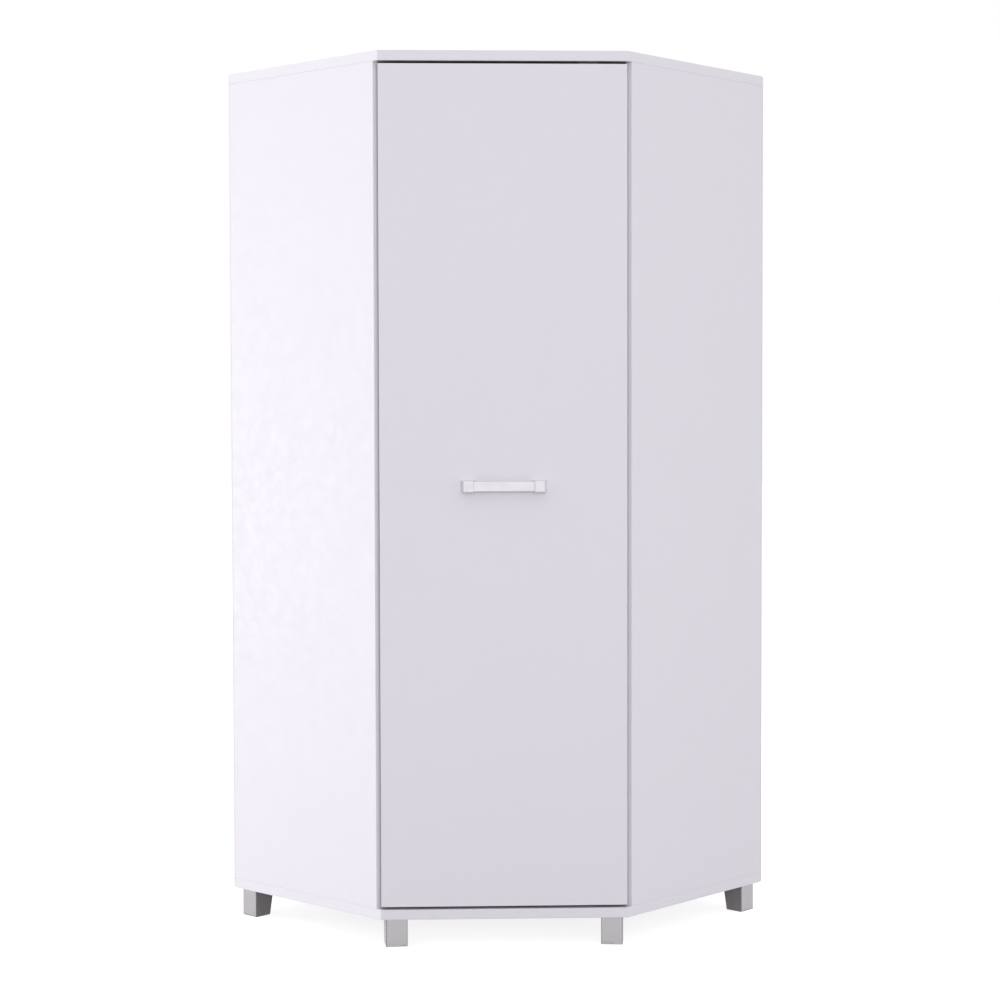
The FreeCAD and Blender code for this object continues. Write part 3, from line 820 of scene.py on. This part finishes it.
@dataclass(frozen=True)
class CrossHeadScrews:
    """Screws with domed heads and a cross recess, in the place of a node's plain ones."""

    node: str
    body: Body
    facing: Facing
    head_height: float = 2.2 * MM
    segments: int = 20
    shank_segments: int = 10
    rim_share: float = 0.35
    shoulder: tuple[float, float] = (0.93, 0.75)
    crown: tuple[float, float] = (0.72, 1.0)
    slot_arms: int = 4
    slot_length: float = 0.52
    slot_width: float = 0.15
    slot_depth: float = 0.6
    slot_taper: float = 0.72
    shank_share: float = 0.5
    tip_ratio: float = 3.0

    def build(self, material: bpy.types.Material) -> bpy.types.Object:
        """Model every screw of the node and put them in its place.

        Args:
            material: Finish of the screws.

        Returns:
            The new object.
        """
        out = Vector(self.facing.value)
        screws = bmesh.new()
        for points in solids_of(self.node):
            middle = points_middle(points)
            reach = [(p - middle).dot(out) for p in points]
            radius = max(((p - middle) - out * (p - middle).dot(out)).length for p in points)
            length = max(reach) - min(reach)
            seat = middle + out * (max(reach) - self.head_height)
            turn = out.to_track_quat("Z", "X").to_matrix().to_4x4()
            self.add_screw(screws, radius, length, Matrix.Translation(seat) @ turn)
        piece = new_piece(self.node + "_cross_head", screws, self.body, material)
        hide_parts(self.node)
        return piece

    def add_screw(self, screws: bmesh.types.BMesh, radius: float, length: float, place: Matrix) -> None:
        """Add one screw: a ring drawn up over the dome, down into the recess, and the shank.

        Args:
            screws: Mesh that takes the screw.
            radius: Radius of the head.
            length: Whole length.
            place: Where the head sits, its axis along Z.
        """
        one = bmesh.new()
        bmesh.ops.create_circle(one, segments=self.segments, radius=radius)
        seat_ring = list(one.edges)
        ring = seat_ring
        share = 1.0
        level = 0.0
        for width, height in ((1.0, self.rim_share), self.shoulder, self.crown):
            ring, points = drawn_out(one, ring)
            bmesh.ops.translate(one, verts=points, vec=(0.0, 0.0, (height - level) * self.head_height))
            bmesh.ops.scale(one, verts=points, vec=(width / share, width / share, 1.0))
            share, level = width, height
        bmesh.ops.edgeloop_fill(one, edges=seat_ring)
        self.cut_recess(one, ring, radius)
        self.add_shank(one, radius, length)
        bmesh.ops.recalc_face_normals(one, faces=one.faces)
        put_in_order(one)
        bmesh.ops.transform(one, matrix=place, verts=one.verts)
        kept = bpy.data.meshes.new("one_screw")
        one.to_mesh(kept)
        one.free()
        screws.from_mesh(kept)
        bpy.data.meshes.remove(kept)

    def cut_recess(self, one: bmesh.types.BMesh, crown: list[bmesh.types.BMEdge], radius: float) -> None:
        """Bridge the crown to a cross and sink the cross into the head.

        Args:
            one: Mesh of one screw.
            crown: Edges of the open crown.
            radius: Radius of the head.
        """
        long = self.slot_length * radius
        wide = self.slot_width * radius
        quarter = [(long, -wide), (long, wide), (wide, wide)]
        cross = []
        for step in range(self.slot_arms):
            turn = Matrix.Rotation(step * math.tau / self.slot_arms, 3, "Z")
            cross += [one.verts.new(turn @ Vector((x, y, self.head_height))) for x, y in quarter]
        rim = [one.edges.new((cross[i], cross[(i + 1) % len(cross)])) for i in range(len(cross))]
        bmesh.ops.bridge_loops(one, edges=crown + rim)
        floor, points = drawn_out(one, rim)
        bmesh.ops.translate(one, verts=points, vec=(0.0, 0.0, -self.slot_depth * self.head_height))
        bmesh.ops.scale(one, verts=points, vec=(self.slot_taper, self.slot_taper, 1.0))
        bmesh.ops.edgeloop_fill(one, edges=floor)

    def add_shank(self, one: bmesh.types.BMesh, radius: float, length: float) -> None:
        """Add the shank with its point under the head.

        Args:
            one: Mesh of one screw.
            radius: Radius of the head.
            length: Whole length.
        """
        shank = length - self.head_height
        made = bmesh.ops.create_cone(
            one,
            cap_ends=True,
            segments=self.shank_segments,
            radius1=self.shank_share * radius / self.tip_ratio,
            radius2=self.shank_share * radius,
            depth=shank,
        )
        bmesh.ops.translate(one, verts=made["verts"], vec=(0.0, 0.0, -shank / 2))


@dataclass
class Carcase:
    """Boards, side panels, backs, posts and shelf."""

    board: WhiteBoard = WhiteBoard()
    back: Hardboard = Hardboard()
    level_boards: tuple[str, ...] = ("top_board", "bottom_board", "shelf")
    left_boards: tuple[str, ...] = ("left_side_panel", "rear_post_right")
    right_boards: tuple[str, ...] = ("right_side_panel", "rear_post_left")

    def dress(self) -> None:
        """Put the white board finish and the hardboard on."""
        for lie, names in (
            (Lie.ACROSS, self.level_boards),
            (Lie.LEFT_SIDE, self.left_boards),
            (Lie.RIGHT_SIDE, self.right_boards),
        ):
            for name in names:
                dress(self.board.material(name, lie), name)
        to_left_wall = Vector((-HALF_ROOT, HALF_ROOT, 0.0))
        to_right_wall = Vector((HALF_ROOT, HALF_ROOT, 0.0))
        dress(self.back.material("left_back_panel", Lie.RIGHT_SIDE, to_left_wall), "left_back_panel")
        dress(self.back.material("right_back_panel", Lie.LEFT_SIDE, to_right_wall), "right_back_panel")


@dataclass
class Door:
    """Door slab and its handle."""

    # The door's dark bare ends stand partly for painted shade in the gaps above and below it.
    board: WhiteBoard = WhiteBoard(bare_ends_and_gap_shade=True)
    handle_nodes: tuple[str, ...] = ("handle_grip", "handle_post_left", "handle_post_right")

    def dress(self) -> None:
        """Put the finishes of the slab and the handle on."""
        dress(self.board.material("door", Lie.ACROSS), "door")
        dress(SATIN.material(), *self.handle_nodes)


@dataclass
class Feet:
    """The five feet."""

    finish: SilverPlastic = SilverPlastic()

    def dress(self) -> None:
        """Put the silver plastic on each foot, with its coat on the outer face and painted shade on the
        other faces.
        """
        for foot in Foot:
            turn = Matrix.Rotation(math.radians(foot.value), 3, "Z")
            outward = turn @ FRONT
            dress(self.finish.material(foot.name.lower(), outward), foot.name.lower())


@dataclass
class Fittings:
    """Hinges, rail, catch, brackets and everything that holds the boards together."""

    zinc_nodes: tuple[str, ...] = (
        "cam_locks",
        "cam_bolts",
        "back_panel_nails",
        "post_screws",
        "shelf_pins",
        "rail_hanger_left",
        "rail_hanger_right",
        "wall_bracket_left",
        "wall_bracket_right",
        "hinge_cups",
        "hinge_pins",
        "hinge_arms",
        "hinge_plates",
        "strike_plate",
        "strike_screws",
        "catch_screws",
    )
    screw_sets: tuple[CrossHeadScrews, ...] = (
        CrossHeadScrews("foot_screws", Body.CARCASE, Facing.DOWN),
        CrossHeadScrews("hanger_screws", Body.CARCASE, Facing.DOWN),
        CrossHeadScrews("bracket_screws", Body.CARCASE, Facing.DOWN),
        CrossHeadScrews("handle_screws", Body.DOOR, Facing.INTO_ROOM),
        CrossHeadScrews("hinge_cup_screws", Body.DOOR, Facing.INTO_ROOM),
        CrossHeadScrews("hinge_plate_screws", Body.CARCASE, Facing.OFF_LEFT_PANEL),
        CrossHeadScrews("hinge_arm_screws", Body.CARCASE, Facing.OFF_LEFT_PANEL),
    )

    def build(self) -> None:
        """Model the screws and put the finishes on."""
        zinc = ZINC.material()
        dress(zinc, *self.zinc_nodes)
        for screws in self.screw_sets:
            screws.build(zinc)
        dress(CHROME.material(), "hanging_rail")
        dress(GREY_PLASTIC.material(), "rail_end_caps")
        dress(CATCH_PLASTIC.material(), "magnetic_catch")
        dress(Beech().material(), "wooden_dowels")
        dress(FERRITE.material(), "catch_magnet")


@dataclass(frozen=True)
class Lamp:
    """Soft rectangular lamp."""

    name: str
    place: tuple[float, float, float]
    width: float
    height: float
    power: float

    def build(self, aim: Vector) -> None:
        """Make the lamp, turned to what it lights.

        Args:
            aim: Point that it looks at.
        """
        data = bpy.data.lights.new(self.name, "AREA")
        data.shape = "RECTANGLE"
        data.size = self.width
        data.size_y = self.height
        data.energy = self.power
        lamp = bpy.data.objects.new(self.name, data)
        lamp.location = self.place
        lamp.rotation_euler = (aim - lamp.location).to_track_quat("-Z", "Y").to_euler()
        bpy.context.scene.collection.objects.link(lamp)


LEFT_WINDOW = Lamp("left_window", (-12.0, 3.0, 0.75), width=3.2, height=1.4, power=815.0)
RIGHT_FILL = Lamp("right_fill", (12.2, -2.2, 0.75), width=3.2, height=1.4, power=146.0)
FRONT_SOFT = Lamp("front_soft", (-0.2, -6.6, 1.95), width=1.2, height=1.2, power=72.5)


@dataclass
class Studio:
    """White room: floor, world, lamps and the camera at the photo's angle."""

    floor_half: float = 30.0
    floor_colour: Colour = (0.45, 0.445, 0.45)
    floor_glow: float = 0.82
    world_colour: Colour = (1.0, 1.0, 1.0)
    world_strength: float = 0.9
    camera_place: tuple[float, float, float] = (-0.17795, -5.1324, 1.15667)
    camera_yaw: float = -0.0364
    camera_pitch: float = -0.03962
    camera_roll: float = -0.00239
    camera_lens: float = 77.94
    sensor: float = 36.0
    lamps: tuple[Lamp, ...] = (LEFT_WINDOW, RIGHT_FILL, FRONT_SOFT)
    aim: Vector = field(default_factory=lambda: Vector((0.0, 0.0, 0.95)))

    def build(self) -> None:
        """Make the floor, the world, the lamps and the camera."""
        self.make_floor()
        self.make_world()
        for lamp in self.lamps:
            lamp.build(self.aim)
        self.make_camera()
        bpy.context.scene.view_settings.view_transform = "Standard"

    def make_floor(self) -> None:
        """Pale floor that the camera and the metal see as white, with the object's shadow on it."""
        mesh = bmesh.new()
        bmesh.ops.create_grid(mesh, x_segments=1, y_segments=1, size=self.floor_half)
        data = bpy.data.meshes.new("floor")
        mesh.to_mesh(data)
        mesh.free()
        data.materials.append(self.floor_material())
        floor = bpy.data.objects.new("floor", data)
        bpy.context.scene.collection.objects.link(floor)

    def floor_material(self) -> bpy.types.Material:
        """Matt floor with a white glow for camera, glossy and transmission rays.

        Returns:
            The material.
        """
        material = bpy.data.materials.new("pale_floor")
        material.use_nodes = True
        tree = material.node_tree
        tree.nodes.clear()
        output = tree.nodes.new("ShaderNodeOutputMaterial")
        matt = tree.nodes.new("ShaderNodeBsdfDiffuse")
        matt.inputs["Color"].default_value = (*self.floor_colour, OPAQUE)
        glow = tree.nodes.new("ShaderNodeEmission")
        tree.links.new(self.seen_rays(tree, self.floor_glow), glow.inputs["Strength"])
        both = tree.nodes.new("ShaderNodeAddShader")
        tree.links.new(matt.outputs["BSDF"], both.inputs[0])
        tree.links.new(glow.outputs["Emission"], both.inputs[1])
        tree.links.new(both.outputs["Shader"], output.inputs["Surface"])
        return material

    def seen_rays(self, tree: bpy.types.NodeTree, strength: float) -> Socket:
        """Strength for the rays that see the background.

        Args:
            tree: Node tree to add to.
            strength: Value for camera, glossy and transmission rays.

        Returns:
            The value socket, 0 for other rays.
        """
        path = tree.nodes.new("ShaderNodeLightPath")
        either = path.outputs["Is Camera Ray"]
        for name in ("Is Glossy Ray", "Is Transmission Ray"):
            node = tree.nodes.new("ShaderNodeMath")
            node.operation = "MAXIMUM"
            tree.links.new(either, node.inputs[0])
            tree.links.new(path.outputs[name], node.inputs[1])
            either = node.outputs["Value"]
        scaled = tree.nodes.new("ShaderNodeMath")
        scaled.operation = "MULTIPLY"
        tree.links.new(either, scaled.inputs[0])
        scaled.inputs[1].default_value = strength
        return scaled.outputs["Value"]

    def make_world(self) -> None:
        """Soft light from all round, seen as plain white."""
        world = bpy.data.worlds.new("white_room")
        world.use_nodes = True
        tree = world.node_tree
        tree.nodes.clear()
        output = tree.nodes.new("ShaderNodeOutputWorld")
        soft = tree.nodes.new("ShaderNodeBackground")
        soft.inputs["Color"].default_value = (*self.world_colour, OPAQUE)
        soft.inputs["Strength"].default_value = self.world_strength
        white = tree.nodes.new("ShaderNodeBackground")
        white.inputs["Color"].default_value = (1.0, 1.0, 1.0, OPAQUE)
        mix = tree.nodes.new("ShaderNodeMixShader")
        tree.links.new(self.seen_rays(tree, 1.0), mix.inputs["Fac"])
        tree.links.new(soft.outputs["Background"], mix.inputs[1])
        tree.links.new(white.outputs["Background"], mix.inputs[2])
        tree.links.new(mix.outputs["Shader"], output.inputs["Surface"])
        bpy.context.scene.world = world

    def make_camera(self) -> None:
        """Camera at the photo's viewing angle."""
        level = math.cos(self.camera_pitch)
        forward = Vector((
            -math.sin(self.camera_yaw) * level,
            math.cos(self.camera_yaw) * level,
            math.sin(self.camera_pitch),
        ))
        right = Vector((math.cos(self.camera_yaw), math.sin(self.camera_yaw), 0.0))
        upright = right.cross(forward)
        cosine = math.cos(self.camera_roll)
        sine = math.sin(self.camera_roll)
        across = cosine * right + sine * upright
        up = cosine * upright - sine * right
        data = bpy.data.cameras.new("photo_camera")
        data.sensor_width = self.sensor
        data.lens = self.camera_lens
        camera = bpy.data.objects.new("photo_camera", data)
        turn = Matrix((across, up, -forward)).transposed()
        camera.matrix_world = Matrix.Translation(self.camera_place) @ turn.to_4x4()
        bpy.context.scene.collection.objects.link(camera)
        bpy.context.scene.camera = camera


def main() -> None:
    """Build and dress the sub-assemblies in order."""
    logging.basicConfig(level=logging.INFO, format="%(message)s")
    Studio().build()
    Carcase().dress()
    Door().dress()
    Feet().dress()
    Fittings().build()


if __name__ == "__main__":
    main()
